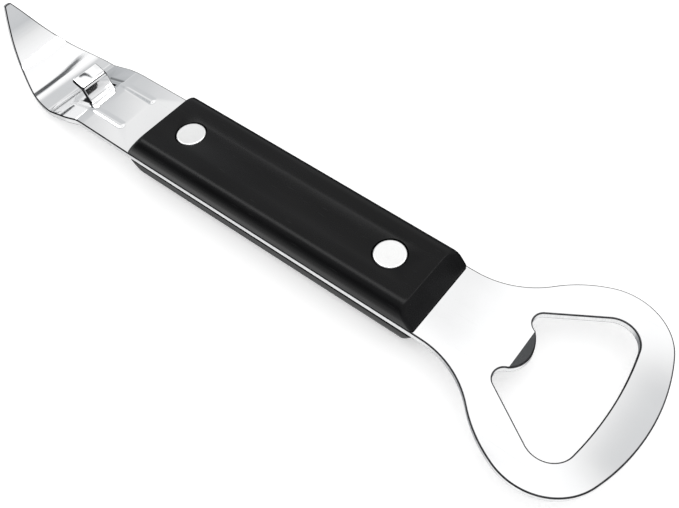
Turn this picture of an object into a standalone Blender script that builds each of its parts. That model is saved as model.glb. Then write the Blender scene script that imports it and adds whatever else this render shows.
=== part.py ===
"""Can piercer and bottle opener, built as it comes apart on a bench.

One stamped steel plate runs the whole length: a pointed can piercer with a rim
catch at the -X end, a tang under the handle, and a crown cap loop at the +X end.
Two moulded scales sandwich the tang, and two cutler's rivets, each a headed pin
pressed into a headed sleeve, hold the sandwich together.

Frame: metres, +X from the piercer towards the loop, +Z up. The origin is the
middle of the back scale's underside, which is the face the opener lies on.
"""
import math

import bmesh
import bpy
from mathutils import Matrix, Vector

MM = 0.001
GAP = 0.3 * MM                      # clearance between pieces that touch

# Steel plate, flat stretch
PLATE_THICK = 1.8 * MM
NECK_HALF_POINT = 10.5 * MM         # half width of the neck on the piercer side
NECK_HALF_LOOP = 9.65 * MM          # half width of the neck on the loop side

# Handle
HANDLE_POINT_LEN = 41.6 * MM        # from the middle of the rivets to the piercer end
HANDLE_LOOP_LEN = 40.8 * MM         # and to the loop end
SCALE_THICK = 4.95 * MM
SHOULDER_RADIUS = 3.3 * MM          # round along both long edges of a scale
POINT_END_RUN = 4.0 * MM            # how far the piercer end face leans in over the thickness
LOOP_END_RUN = 3.2 * MM             # the same at the loop end
SCALE_CORNER_RADIUS = 0.8 * MM      # corner in plan, where the scale meets the plate
SCALE_TOP_CORNER_RADIUS = 1.3 * MM  # corner in plan, at the flat face

# Cutler's rivets
RIVET_SPACING = 57.0 * MM
RIVET_HEAD_RADIUS = 3.45 * MM
RIVET_HEAD_THICK = 1.45 * MM
RIVET_HEAD_BEVEL = 0.25 * MM
SLEEVE_RADIUS = 2.4 * MM
PIN_RADIUS = 1.25 * MM

# Crown cap loop, as arcs that follow on from each other
LOOP_NECK_LEN = 2.1 * MM            # straight neck between the handle and the flare
LOOP_FLARE_RADIUS = 19.1 * MM
LOOP_FLARE_TURN = 46.6              # degrees
LOOP_CHEEK_RADIUS = 25.6 * MM
LOOP_CHEEK_TURN = 25.1
LOOP_CORNER_RADIUS = 12.1 * MM
LOOP_CORNER_TURN = 90.8

# Hole in the loop, and the lip that lifts the cap
LIP_SETBACK = 16.1 * MM             # from the end of the straight neck to the lip's fold
LIP_HALF_WIDTH = 4.85 * MM
LIP_LENGTH = 1.95 * MM              # seen from above
LIP_DROOP = 30.0                    # degrees the lip is folded down
NOTCH_START_ANGLE = 161.0           # heading in which the notch leaves the lip
NOTCH_RADIUS = 2.38 * MM
HOLE_SIDE_ANGLE = 31.7              # degrees off the long axis
HOLE_SIDE_LENGTH = 12.13 * MM
HOLE_CORNER_RADIUS = 4.8 * MM
HOLE_CORNER_TURN = 111.2

# Piercer, as bends and straights measured along the upper face
POINT_NECK_LEN = 16.8 * MM          # flat neck between the handle and the first bend
PIERCER_BENDS = (                   # (radius, turn in degrees, straight that follows)
    (20.0 * MM, -6.0, 0.8 * MM),    # easing off the neck
    (2.6 * MM, -10.5, 11.5 * MM),   # crease, then down into the trough
    (5.0 * MM, 22.8, 3.3 * MM),     # bottom of the trough
    (16.75 * MM, 66.6, 5.9 * MM),   # sweep up to the point
)
SWELL_RISE = 0.44 * MM              # the piercer is a little wider than the neck
SWELL_START = 1.5 * MM              # distances along the piercer
SWELL_LENGTH = 7.0 * MM
POINT_SHOULDER = 20.5 * MM          # where the swollen sides and the point's edges meet
POINT_SHOULDER_RADIUS = 30.0 * MM
POINT_TIP_HALF = 0.95 * MM          # half width of the blunt tip
POINT_BOW = 0.3 * MM                # how far the point's edges bow outwards midway
POINT_TIP_THICK = 1.1 * MM          # the point is ground thinner from behind
POINT_GRIND_START = 20.0 * MM       # distance along the piercer

# Rim catch, lanced out of the piercer
CATCH_BASE = 4.5 * MM               # distance along the piercer
CATCH_HALF_WIDTH = 3.9 * MM
CATCH_THICK = 1.4 * MM
CATCH_ROOT = 0.9 * MM               # how far the catch reaches into the plate
CATCH_RISE = (0.8 * MM, 93.5, 2.6 * MM)    # radius, turn in degrees, straight that follows
CATCH_FOLD = (1.7 * MM, -57.0, 3.05 * MM)
CATCH_KERF = 0.4 * MM               # side gap between catch and window
WINDOW_LENGTH = 4.6 * MM

# Stiffening beads, pressed up in the neck on both sides of the catch
BEAD_CLEAR = 1.2 * MM               # from the side of the catch to the bead's spine
BEAD_RADIUS = 1.45 * MM
BEAD_HEIGHT = 0.4 * MM
BEAD_ON_NECK = 8.4 * MM             # how far the spine runs back from the first bend
BEAD_ON_PIERCER = 9.6 * MM          # and how far forward of it

# Worked out from the sizes above
LOOP_NECK_END = HANDLE_LOOP_LEN + LOOP_NECK_LEN
LIP_FOLD_X = LOOP_NECK_END + LIP_SETBACK
BEND_START_X = -(HANDLE_POINT_LEN + POINT_NECK_LEN)
BEAD_Y = CATCH_HALF_WIDTH + BEAD_CLEAR
BEAD_START_X = BEND_START_X + BEAD_ON_NECK
BEAD_END_X = BEND_START_X - BEAD_ON_PIERCER
PLATE_TOP = SCALE_THICK + GAP + PLATE_THICK
FRONT_FACE = PLATE_TOP + GAP + SCALE_THICK
SLEEVE_HOLE_RADIUS = SLEEVE_RADIUS + GAP
HEAD_SEAT_RADIUS = RIVET_HEAD_RADIUS + GAP
HEAD_SEAT_DEPTH = RIVET_HEAD_THICK + GAP

# How finely curves are divided
ARC_STEP = 7.5                      # most degrees of arc per segment
ARC_CHORD = 2.2 * MM                # longest segment of an arc
ROUND_SEGMENTS = 40
WIDTH_ROWS = 14                     # rows where the piercer's width changes
ROW_SPACING = 0.25 * MM             # rows closer than this are merged
LIP_STEPS = 10
BEAD_END_STEPS = 10
BEAD_RINGS = (0.75, 0.5, 0.25)
CORNER_STEPS = 6
SHOULDER_STEPS = 9


def clear_scene():
    """Remove every object, so that the model starts from nothing."""
    for item in list(bpy.data.objects):
        bpy.data.objects.remove(item, do_unlink=True)


def principled(name, colour, roughness, metallic):
    """A plain Principled material."""
    material = bpy.data.materials.new(name)
    material.use_nodes = True
    shader = material.node_tree.nodes["Principled BSDF"]
    shader.inputs["Base Color"].default_value = (*colour, 1.0)
    shader.inputs["Roughness"].default_value = roughness
    shader.inputs["Metallic"].default_value = metallic
    material.diffuse_color = (*colour, 1.0)
    return material


def add_object(name, bm, material=None, sharp_angle=math.radians(35)):
    """Turn a bmesh into an object, shaded smooth apart from its sharp edges."""
    bm.normal_update()
    bmesh.ops.recalc_face_normals(bm, faces=bm.faces)
    mesh = bpy.data.meshes.new(name)
    bm.to_mesh(mesh)
    bm.free()
    mesh.shade_smooth()
    mesh.set_sharp_from_angle(angle=sharp_angle)
    item = bpy.data.objects.new(name, mesh)
    bpy.context.scene.collection.objects.link(item)
    if material:
        mesh.materials.append(material)
    else:
        item.hide_render = True
        item.display_type = "WIRE"
    return item


def boolean(target, tool, operation):
    """Cut or join a tool object with an exact Boolean."""
    modifier = target.modifiers.new(tool.name, "BOOLEAN")
    modifier.operation = operation
    modifier.object = tool
    modifier.solver = "EXACT"


def arc_steps(radius, turn):
    """How many straight segments stand for an arc."""
    length = radius * abs(math.radians(turn))
    return max(3, math.ceil(abs(turn) / ARC_STEP), math.ceil(length / ARC_CHORD))


def trace_arc(points, heading, radius, turn):
    """Extend a 2D outline by an arc; positive turns go left. Returns the new heading."""
    steps = arc_steps(radius, turn)
    side = math.copysign(1.0, turn)
    start = math.radians(heading)
    x, y = points[-1]
    cx, cy = x - side * radius * math.sin(start), y + side * radius * math.cos(start)
    for step in range(1, steps + 1):
        angle = start + math.radians(turn) * step / steps
        points.append((cx + side * radius * math.sin(angle), cy - side * radius * math.cos(angle)))
    return heading + turn


def trace_line(points, heading, length):
    """Extend a 2D outline by a straight."""
    angle = math.radians(heading)
    x, y = points[-1]
    points.append((x + length * math.cos(angle), y + length * math.sin(angle)))


def trace_to_axis(points, heading):
    """Close an outline onto the long axis, which it crosses square on."""
    radius = points[-1][1] / math.cos(math.radians(heading))
    trace_arc(points, heading, radius, -90.0 - heading)
    points[-1] = (points[-1][0], 0.0)


def mirrored(half):
    """A closed outline from its upper half, whose end points lie on the axis."""
    return half + [(x, -y) for x, y in reversed(half[1:-1])]


# ---------------------------------------------------------------- bent strips

class BentStrip:
    """The upper face of a bent strip seen from the side, by distance along it."""

    def __init__(self, start, heading, bends):
        self.knots = [(0.0, start, heading, math.inf)]
        distance, point = 0.0, start
        for radius, turn, straight in bends:
            self.knots[-1] = (distance, point, heading, math.copysign(radius, turn))
            distance += radius * abs(math.radians(turn))
            point = self.travel(point, heading, math.copysign(radius, turn), radius * abs(math.radians(turn)))
            heading += turn
            self.knots.append((distance, point, heading, math.inf))
            distance += straight
            point = self.travel(point, heading, math.inf, straight)
            self.knots.append((distance, point, heading, math.inf))
        self.length = distance

    @staticmethod
    def travel(point, heading, radius, distance):
        """Move along -X and up at the heading, on a straight or on an arc."""
        start = math.radians(heading)
        if math.isinf(radius):
            return point + Vector((-math.cos(start), 0, math.sin(start))) * distance
        end = start + distance / radius
        return point + Vector((-(math.sin(end) - math.sin(start)), 0, math.cos(start) - math.cos(end))) * radius

    def at(self, distance):
        """Point on the upper face and the face's normal."""
        knot = [k for k in self.knots if k[0] <= distance + 1e-9][-1]
        start, point, heading, radius = knot
        place = self.travel(point, heading, radius, distance - start)
        angle = math.radians(heading) + (0.0 if math.isinf(radius) else (distance - start) / radius)
        return place, Vector((math.sin(angle), 0, math.cos(angle)))

    def stations(self):
        """Distances at which a mesh needs a row of points."""
        rows = []
        for knot, after in zip(self.knots, self.knots[1:]):
            run = after[0] - knot[0]
            steps = 1 if math.isinf(knot[3]) else arc_steps(abs(knot[3]), math.degrees(run / knot[3]))
            rows += [knot[0] + run * step / steps for step in range(steps)]
        return rows + [self.length]


PIERCER = BentStrip(Vector((BEND_START_X, 0, PLATE_TOP)), 0.0, PIERCER_BENDS)


def piercer_half_width(distance):
    """Half width of the piercer, by distance along it."""
    swell = min(max((distance - SWELL_START) / SWELL_LENGTH, 0.0), 1.0)
    full = NECK_HALF_POINT + SWELL_RISE * swell * swell * (3 - 2 * swell)
    slope = (NECK_HALF_POINT + SWELL_RISE - POINT_TIP_HALF) / (PIERCER.length - POINT_SHOULDER)
    edge = math.atan(slope)
    before = POINT_SHOULDER - POINT_SHOULDER_RADIUS * math.tan(edge / 2)
    after = before + POINT_SHOULDER_RADIUS * math.sin(edge)
    if distance <= before:
        return full
    share = (distance - before) / (PIERCER.length - before)
    bow = 4 * POINT_BOW * share * (1 - share)
    if distance < after:
        run = distance - before
        return full + bow - POINT_SHOULDER_RADIUS + math.sqrt(POINT_SHOULDER_RADIUS ** 2 - run ** 2)
    return full + bow - (distance - POINT_SHOULDER) * slope


def piercer_rows():
    """Distances along the piercer at which the blank gets a row of points."""
    rows = set(PIERCER.stations())
    point_start = POINT_SHOULDER - POINT_SHOULDER_RADIUS / 4
    for step in range(WIDTH_ROWS + 1):
        rows.add(SWELL_START + SWELL_LENGTH * step / WIDTH_ROWS)
        rows.add(point_start + (PIERCER.length - point_start) * step / WIDTH_ROWS)
    rows = sorted(rows)
    keep = [rows[0]]
    for row in rows[1:]:
        if row - keep[-1] > ROW_SPACING:
            keep.append(row)
    keep[-1] = rows[-1]
    return keep


# --------------------------------------------------------------- steel plate

def tang_half_width(x):
    """The tang tapers evenly from the piercer neck to the loop neck."""
    share = min(max((x + HANDLE_POINT_LEN) / (HANDLE_POINT_LEN + HANDLE_LOOP_LEN), 0.0), 1.0)
    return NECK_HALF_POINT + (NECK_HALF_LOOP - NECK_HALF_POINT) * share


def plate_outline():
    """Closed outline of the flat blank, with the piercer rolled out straight."""
    loop = [(LOOP_NECK_END, NECK_HALF_LOOP)]
    heading = trace_arc(loop, 0.0, LOOP_FLARE_RADIUS, LOOP_FLARE_TURN)
    heading = trace_arc(loop, heading, LOOP_CHEEK_RADIUS, -LOOP_CHEEK_TURN)
    heading = trace_arc(loop, heading, LOOP_CORNER_RADIUS, -LOOP_CORNER_TURN)
    trace_to_axis(loop, heading)
    neck = [(HANDLE_LOOP_LEN, NECK_HALF_LOOP), (-HANDLE_POINT_LEN, NECK_HALF_POINT)]
    piercer = [(BEND_START_X - row, piercer_half_width(row)) for row in piercer_rows()]
    tip = [(BEND_START_X - PIERCER.length, 0.0)]
    return mirrored(loop[::-1] + neck + piercer + tip)


def hole_outline():
    """Closed outline of the hole in the loop, with the lip still flat."""
    radius = (LIP_HALF_WIDTH ** 2 + LIP_LENGTH ** 2) / (2 * LIP_LENGTH)
    centre = LIP_FOLD_X + LIP_LENGTH - radius
    half_turn = math.asin(LIP_HALF_WIDTH / radius)
    lip = []
    for step in range(LIP_STEPS + 1):
        angle = half_turn * step / LIP_STEPS
        lip.append((centre + radius * math.cos(angle), radius * math.sin(angle)))
    heading = trace_arc(lip, NOTCH_START_ANGLE, NOTCH_RADIUS, HOLE_SIDE_ANGLE - NOTCH_START_ANGLE)
    trace_line(lip, heading, HOLE_SIDE_LENGTH)
    heading = trace_arc(lip, heading, HOLE_CORNER_RADIUS, -HOLE_CORNER_TURN)
    trace_to_axis(lip, heading)
    return mirrored(lip)


def circle(x, y, radius):
    """Closed round outline."""
    turns = [2 * math.pi * step / ROUND_SEGMENTS for step in range(ROUND_SEGMENTS)]
    return [(x + radius * math.cos(turn), y + radius * math.sin(turn)) for turn in turns]


def bead_ring(y, radius):
    """Closed outline of a bead at a distance from its spine."""
    ring = []
    for end, centre in ((0.0, BEAD_START_X), (math.pi, BEAD_END_X)):
        for step in range(BEAD_END_STEPS + 1):
            turn = end - math.pi / 2 + math.pi * step / BEAD_END_STEPS
            ring.append((centre + radius * math.cos(turn), y + radius * math.sin(turn)))
    return ring


def bead_lift(x, y):
    """How far a bead raises the plate at a point of the blank."""
    spine = min(max(x, BEAD_END_X), BEAD_START_X)
    reach = math.hypot(x - spine, abs(y) - BEAD_Y) / BEAD_RADIUS
    return BEAD_HEIGHT * 0.5 * (1 + math.cos(math.pi * reach)) if reach < 1 else 0.0


def add_loop(bm, outline, z=0.0):
    """Add a closed outline's points and edges."""
    verts = [bm.verts.new((x, y, z)) for x, y in outline]
    edges = [bm.edges.new((a, b)) for a, b in zip(verts, verts[1:] + verts[:1])]
    return verts, edges


def fill_bead(bm, outer, y):
    """Fill the inside of a bead with rings of faces."""
    ring = outer
    for share in BEAD_RINGS:
        inner = [bm.verts.new((px, py, 0.0)) for px, py in bead_ring(y, BEAD_RADIUS * share)]
        for step in range(len(ring)):
            after = (step + 1) % len(ring)
            bm.faces.new((ring[step], ring[after], inner[after], inner[step]))
        ring = inner
    bm.faces.new(ring)


def place_on_plate(point):
    """Where a point of the thick, flat blank ends up on the formed plate."""
    x, y, depth = point
    if x < BEND_START_X:
        place, normal = PIERCER.at(BEND_START_X - x)
        ground = max((BEND_START_X - x - POINT_GRIND_START) / (PIERCER.length - POINT_GRIND_START), 0.0)
        depth *= 1 - ground * (1 - POINT_TIP_THICK / PLATE_THICK)
        return Vector((0, y, 0)) + place + normal * (depth + bead_lift(x, y))
    depth += bead_lift(x, y)
    if LIP_FOLD_X < x < LIP_FOLD_X + LIP_LENGTH + GAP and abs(y) < LIP_HALF_WIDTH:
        depth -= (x - LIP_FOLD_X) * math.tan(math.radians(LIP_DROOP))
    return Vector((x, y, PLATE_TOP + depth))


def steel_plate(material):
    """The stamped plate: blanked, pierced, pressed and bent from one sheet."""
    bm = bmesh.new()
    loops = [plate_outline(), hole_outline()]
    loops += [circle(side * RIVET_SPACING / 2, 0.0, SLEEVE_HOLE_RADIUS) for side in (-1, 1)]
    edges = [edge for outline in loops for edge in add_loop(bm, outline)[1]]
    beads = []
    for side in (-1, 1):
        verts, ring_edges = add_loop(bm, bead_ring(side * BEAD_Y, BEAD_RADIUS))
        edges += ring_edges
        beads.append((verts, side * BEAD_Y))
    bmesh.ops.triangle_fill(bm, use_beauty=True, edges=edges, normal=(0, 0, 1))
    for verts, y in beads:
        fill_bead(bm, verts, y)
    for row in [BEND_START_X - row for row in piercer_rows()[:-1]] + [LIP_FOLD_X]:
        everything = bm.verts[:] + bm.edges[:] + bm.faces[:]
        bmesh.ops.bisect_plane(bm, geom=everything, dist=1e-6, plane_co=(row, 0, 0), plane_no=(1, 0, 0))
    lower = bmesh.ops.extrude_face_region(bm, geom=bm.faces[:])["geom"]
    for vert in (item for item in lower if isinstance(item, bmesh.types.BMVert)):
        vert.co.z = -PLATE_THICK
    for vert in bm.verts:
        vert.co = place_on_plate(vert.co)
    plate = add_object("steel_plate", bm, material)
    boolean(plate, catch_window(), "DIFFERENCE")
    boolean(plate, rim_catch(), "UNION")
    return plate


def strip_frame(distance):
    """Turn a place on the piercer into a matrix: X along it towards the tip, Z out of it."""
    place, normal = PIERCER.at(distance)
    along = Vector((0, 1, 0)).cross(normal) * -1
    return Matrix.Translation(place) @ Matrix((along, Vector((0, -1, 0)), normal)).transposed().to_4x4()


def catch_window():
    """Cutter for the opening that the catch is lanced out of."""
    half = CATCH_HALF_WIDTH + CATCH_KERF
    bm = bmesh.new()
    bmesh.ops.create_cube(bm, size=1.0)
    size = Matrix.Diagonal((WINDOW_LENGTH, 2 * half, 4 * PLATE_THICK, 1.0))
    middle = strip_frame(CATCH_BASE + WINDOW_LENGTH / 2) @ Matrix.Translation((0, 0, -PLATE_THICK / 2))
    bm.transform(middle @ size)
    return add_object("catch_window_cutter", bm)


def rim_catch():
    """The catch itself: rooted inside the plate, up through the window, then over."""
    root, normal = PIERCER.at(CATCH_BASE - CATCH_ROOT)
    sunk = root - normal * (PLATE_THICK - CATCH_THICK) / 2
    heading = math.degrees(math.atan2(normal.x, normal.z))
    bends = ((1.0, 0.0, CATCH_ROOT), CATCH_RISE, CATCH_FOLD)
    strip = BentStrip(sunk, heading, bends)
    bm = bmesh.new()
    rings = []
    for row in strip.stations():
        place, up = strip.at(row)
        corners = ((1, 0.0), (-1, 0.0), (-1, -CATCH_THICK), (1, -CATCH_THICK))
        ring = [place + Vector((0, side * CATCH_HALF_WIDTH, 0)) + up * depth for side, depth in corners]
        if not rings or (ring[0] - rings[-1][0].co).length > 0.01 * MM:
            rings.append([bm.verts.new(point) for point in ring])
    for first, second in zip(rings, rings[1:]):
        for step in range(4):
            after = (step + 1) % 4
            bm.faces.new((first[step], first[after], second[after], second[step]))
    bm.faces.new(rings[0])
    bm.faces.new(rings[-1])
    return add_object("rim_catch_body", bm)


# -------------------------------------------------------------------- scales

def scale_ring(height):
    """Plan outline of a scale at a height above the plate side of it."""
    over = max(height - (SCALE_THICK - SHOULDER_RADIUS), 0.0)
    inset = SHOULDER_RADIUS - math.sqrt(max(SHOULDER_RADIUS ** 2 - over ** 2, 0.0))
    share = height / SCALE_THICK
    ends = {1: HANDLE_LOOP_LEN - LOOP_END_RUN * share, -1: HANDLE_POINT_LEN - POINT_END_RUN * share}
    corner = SCALE_CORNER_RADIUS + (SCALE_TOP_CORNER_RADIUS - SCALE_CORNER_RADIUS) * share
    ring = []
    for turn, sx, sy in ((0, 1, 1), (90, -1, 1), (180, -1, -1), (270, 1, -1)):
        half_width = tang_half_width(sx * ends[sx]) - inset
        for step in range(CORNER_STEPS + 1):
            angle = math.radians(turn + 90 * step / CORNER_STEPS)
            x = sx * (ends[sx] - corner) + corner * math.cos(angle)
            y = sy * (half_width - corner) + corner * math.sin(angle)
            ring.append((x, y))
    return ring


def scale_heights():
    """Heights at which a scale gets a ring of points."""
    straight = SCALE_THICK - SHOULDER_RADIUS
    turns = [math.pi / 2 * step / SHOULDER_STEPS for step in range(SHOULDER_STEPS + 1)]
    return [0.0] + [straight + SHOULDER_RADIUS * math.sin(turn) for turn in turns]


def scale_solid(name, inner_face, direction, material):
    """A handle scale with its rivet seats; direction is +1 above the plate and -1 below."""
    bm = bmesh.new()
    rings = []
    for height in scale_heights():
        z = inner_face + direction * height
        rings.append([bm.verts.new((x, y, z)) for x, y in scale_ring(height)])
    for lower, upper in zip(rings, rings[1:]):
        for step in range(len(lower)):
            after = (step + 1) % len(lower)
            bm.faces.new((lower[step], lower[after], upper[after], upper[step]))
    bm.faces.new(rings[0])
    bm.faces.new(rings[-1])
    scale = add_object(name, bm, material)
    face = inner_face + direction * SCALE_THICK
    for number, side in enumerate((-1, 1), start=1):
        seat = seat_cutter(f"{name}_seat_{number}", side * RIVET_SPACING / 2, face, direction)
        boolean(scale, seat, "DIFFERENCE")
    return scale


def turned(bm, x, profile):
    """Spin a closed profile of (radius, height) points about an upright axis at x."""
    columns = []
    for step in range(ROUND_SEGMENTS):
        turn = 2 * math.pi * step / ROUND_SEGMENTS
        columns.append([None if radius == 0 else
                        bm.verts.new((x + radius * math.cos(turn), radius * math.sin(turn), z))
                        for radius, z in profile])
    poles = [bm.verts.new((x, 0, z)) if radius == 0 else None for radius, z in profile]
    for step in range(ROUND_SEGMENTS):
        first, second = columns[step], columns[(step + 1) % ROUND_SEGMENTS]
        for row in range(len(profile) - 1):
            corners = [first[row], second[row], second[row + 1], first[row + 1]]
            corners = [corner for corner in corners if corner]
            for pole in poles[row:row + 2]:
                if pole:
                    corners.append(pole)
            if len(corners) > 2:
                bm.faces.new(corners)


def seat_cutter(name, x, face, direction):
    """Cutter for one rivet: a wide seat for the head and a hole for the sleeve."""
    over = 1.0 * MM
    profile = (
        (0.0, face + direction * over),
        (HEAD_SEAT_RADIUS, face + direction * over),
        (HEAD_SEAT_RADIUS, face - direction * HEAD_SEAT_DEPTH),
        (SLEEVE_HOLE_RADIUS, face - direction * HEAD_SEAT_DEPTH),
        (SLEEVE_HOLE_RADIUS, face - direction * (SCALE_THICK + over)),
        (0.0, face - direction * (SCALE_THICK + over)),
    )
    bm = bmesh.new()
    turned(bm, x, profile)
    return add_object(name, bm)


# -------------------------------------------------------------------- rivets

def rivet_pin(name, x, material):
    """Front half of a rivet: a head with a solid pin that goes down the sleeve."""
    under = FRONT_FACE - RIVET_HEAD_THICK
    bottom = RIVET_HEAD_THICK + 2 * GAP
    profile = (
        (0.0, FRONT_FACE),
        (RIVET_HEAD_RADIUS - RIVET_HEAD_BEVEL, FRONT_FACE),
        (RIVET_HEAD_RADIUS, FRONT_FACE - RIVET_HEAD_BEVEL),
        (RIVET_HEAD_RADIUS, under),
        (PIN_RADIUS, under),
        (PIN_RADIUS, bottom + RIVET_HEAD_BEVEL),
        (PIN_RADIUS - RIVET_HEAD_BEVEL, bottom),
        (0.0, bottom),
    )
    bm = bmesh.new()
    turned(bm, x, profile)
    return add_object(name, bm, material)


def rivet_sleeve(name, x, material):
    """Back half of a rivet: a head with a hollow sleeve, open at its upper end."""
    bore = PIN_RADIUS + GAP
    rim = FRONT_FACE - RIVET_HEAD_THICK - GAP
    profile = (
        (0.0, 0.0),
        (RIVET_HEAD_RADIUS - RIVET_HEAD_BEVEL, 0.0),
        (RIVET_HEAD_RADIUS, RIVET_HEAD_BEVEL),
        (RIVET_HEAD_RADIUS, RIVET_HEAD_THICK),
        (SLEEVE_RADIUS, RIVET_HEAD_THICK),
        (SLEEVE_RADIUS, rim),
        (bore, rim),
        (bore, RIVET_HEAD_THICK + GAP),
        (0.0, RIVET_HEAD_THICK + GAP),
    )
    bm = bmesh.new()
    turned(bm, x, profile)
    return add_object(name, bm, material)


def main():
    clear_scene()
    steel = principled("polished_steel", (0.78, 0.79, 0.80), 0.22, 1.0)
    black = principled("black_plastic", (0.012, 0.012, 0.013), 0.32, 0.0)
    rivet = principled("rivet_steel", (0.82, 0.82, 0.82), 0.30, 1.0)

    assembly = bpy.data.objects.new("can_opener", None)
    bpy.context.scene.collection.objects.link(assembly)
    pieces = [
        steel_plate(steel),
        scale_solid("front_scale", PLATE_TOP + GAP, 1, black),
        scale_solid("back_scale", SCALE_THICK, -1, black),
    ]
    for place, side in (("piercer", -1), ("loop", 1)):
        x = side * RIVET_SPACING / 2
        pieces.append(rivet_pin(f"rivet_pin_{place}_end", x, rivet))
        pieces.append(rivet_sleeve(f"rivet_sleeve_{place}_end", x, rivet))
    for piece in pieces:
        piece.parent = assembly


main()
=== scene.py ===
"""Can piercer and bottle opener: its looks.

A stamped and polished steel plate carries a pointed can piercer with a rim catch
at one end and a crown cap loop at the other. Two moulded black scales sandwich
its tang and are held by two cutler's rivets with satin heads.
"""
import math

import bmesh
import bpy
from bpy.props import FloatProperty, FloatVectorProperty, IntProperty, PointerProperty
from mathutils import Matrix, Vector


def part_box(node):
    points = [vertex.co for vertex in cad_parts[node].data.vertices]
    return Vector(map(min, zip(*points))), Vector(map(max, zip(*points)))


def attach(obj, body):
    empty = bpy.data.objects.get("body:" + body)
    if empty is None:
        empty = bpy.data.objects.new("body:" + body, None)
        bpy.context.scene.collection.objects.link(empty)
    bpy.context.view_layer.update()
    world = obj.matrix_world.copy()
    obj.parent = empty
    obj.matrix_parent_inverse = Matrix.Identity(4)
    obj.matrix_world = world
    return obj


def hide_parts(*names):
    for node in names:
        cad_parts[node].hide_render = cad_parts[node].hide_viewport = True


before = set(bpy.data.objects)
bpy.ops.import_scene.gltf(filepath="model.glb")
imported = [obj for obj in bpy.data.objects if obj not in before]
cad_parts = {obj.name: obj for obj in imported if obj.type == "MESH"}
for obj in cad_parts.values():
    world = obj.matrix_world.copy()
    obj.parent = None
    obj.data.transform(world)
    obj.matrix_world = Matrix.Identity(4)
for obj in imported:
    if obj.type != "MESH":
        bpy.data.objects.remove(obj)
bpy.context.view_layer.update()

bl_info = {
    "name": "Can Piercer and Bottle Opener",
    "version": (1, 0, 0),
    "blender": (4, 5, 0),
    "location": "View3D > Sidebar > Opener",
    "description": "Builds a steel can piercer and bottle opener with black handle scales",
    "category": "Add Mesh",
}

MM = 0.001

BACK_LOW, BACK_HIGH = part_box("back_scale")
FRONT_LOW, FRONT_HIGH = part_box("front_scale")
PIN_LOW, PIN_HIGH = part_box("rivet_pin_loop_end")
SLEEVE_LOW, SLEEVE_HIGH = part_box("rivet_sleeve_loop_end")
RIVET_X = (PIN_LOW.x + PIN_HIGH.x) / 2
HEAD_RADIUS = (PIN_HIGH.x - PIN_LOW.x) / 2
CLEARANCE = 0.3 * MM
PLATE_TOP = FRONT_LOW.z - CLEARANCE

# the piercer's bends, from the neck on: radius, turn and the straight after it
PIERCER_BENDS = (
    (20.0 * MM, math.radians(-6.0), 0.8 * MM),
    (2.6 * MM, math.radians(-10.5), 11.5 * MM),
    (5.0 * MM, math.radians(22.8), 3.3 * MM),
    (16.75 * MM, math.radians(66.6), 5.9 * MM),
)
NOSE_LONG = 0.22 * MM
NOSE_BLEND = 3 * MM
CAMERA_PLACE = Vector((78.74 * MM, -63.62 * MM, 121.44 * MM + PLATE_TOP))
CAMERA_RIGHT = Vector((0.77373, 0.62896, -0.07582))
CAMERA_UP = Vector((-0.48327, 0.66337, 0.57131))


# ------------------------------------------------------------------- settings

def length(text, default):
    """A size in metres that the sidebar shows."""
    return FloatProperty(description=text, default=default, min=0.0, unit="LENGTH",
                         subtype="DISTANCE", precision=5)


def turn(text, default):
    """An angle that the sidebar shows in degrees."""
    return FloatProperty(description=text, default=math.radians(default), unit="ROTATION",
                         subtype="ANGLE")


def share(text, default):
    """A plain factor from 0 to 1."""
    return FloatProperty(description=text, default=default, min=0.0, max=1.0, subtype="FACTOR")


def colour(text, default):
    """A colour that the sidebar shows as a swatch."""
    return FloatVectorProperty(description=text, default=default, min=0.0, max=1.0, size=3,
                               subtype="COLOR")


def amount(text, default, unit="NONE"):
    """A number with no upper end, such as a light's power."""
    return FloatProperty(description=text, default=default, unit=unit)


class OpenerPlateSizes(bpy.types.PropertyGroup):
    """Flat sizes of the stamped plate."""
    thick: length("Sheet thickness", PLATE_TOP - BACK_HIGH.z - CLEARANCE)
    edge: length("Radius that tumbling leaves on every sheared edge", 0.28 * MM)
    neck_point: length("Half width of the neck at the piercer", 10.5 * MM)
    neck_loop: length("Half width of the neck at the loop", 9.65 * MM)
    neck_end: length("Where the loop starts to flare", FRONT_HIGH.x + 2.1 * MM)
    flare_radius: length("Radius of the flare out of the neck", 19.1 * MM)
    flare_turn: turn("How far the flare turns", 46.6)
    cheek_radius: length("Radius along the loop's cheek", 25.6 * MM)
    cheek_turn: turn("How far the cheek turns", 25.1)
    corner_radius: length("Radius of the loop's outer corner", 12.1 * MM)
    corner_turn: turn("How far the corner turns", 90.8)
    arc_step: turn("Most turn in one segment of an arc", 3.0)


class OpenerHoleSizes(bpy.types.PropertyGroup):
    """Sizes of the crown cap hole and its lip."""
    setback: length("From the end of the neck to the fold", 16.1 * MM)
    lip_half: length("Half width of the lip at the fold", 4.85 * MM)
    lip_long: length("Length of the lip seen from above", 1.95 * MM)
    droop: turn("How far the lip is folded down", 30.0)
    notch_start: turn("Heading in which the notch leaves the lip", 161.0)
    notch_radius: length("Radius of the notch beside the lip", 2.38 * MM)
    side_angle: turn("Angle between the hole's side and the long axis", 31.7)
    side_long: length("Straight part of the hole's side", 12.13 * MM)
    corner_radius: length("Radius of the hole's far corners", 4.8 * MM)
    corner_turn: turn("How far a far corner turns", 111.2)


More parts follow.
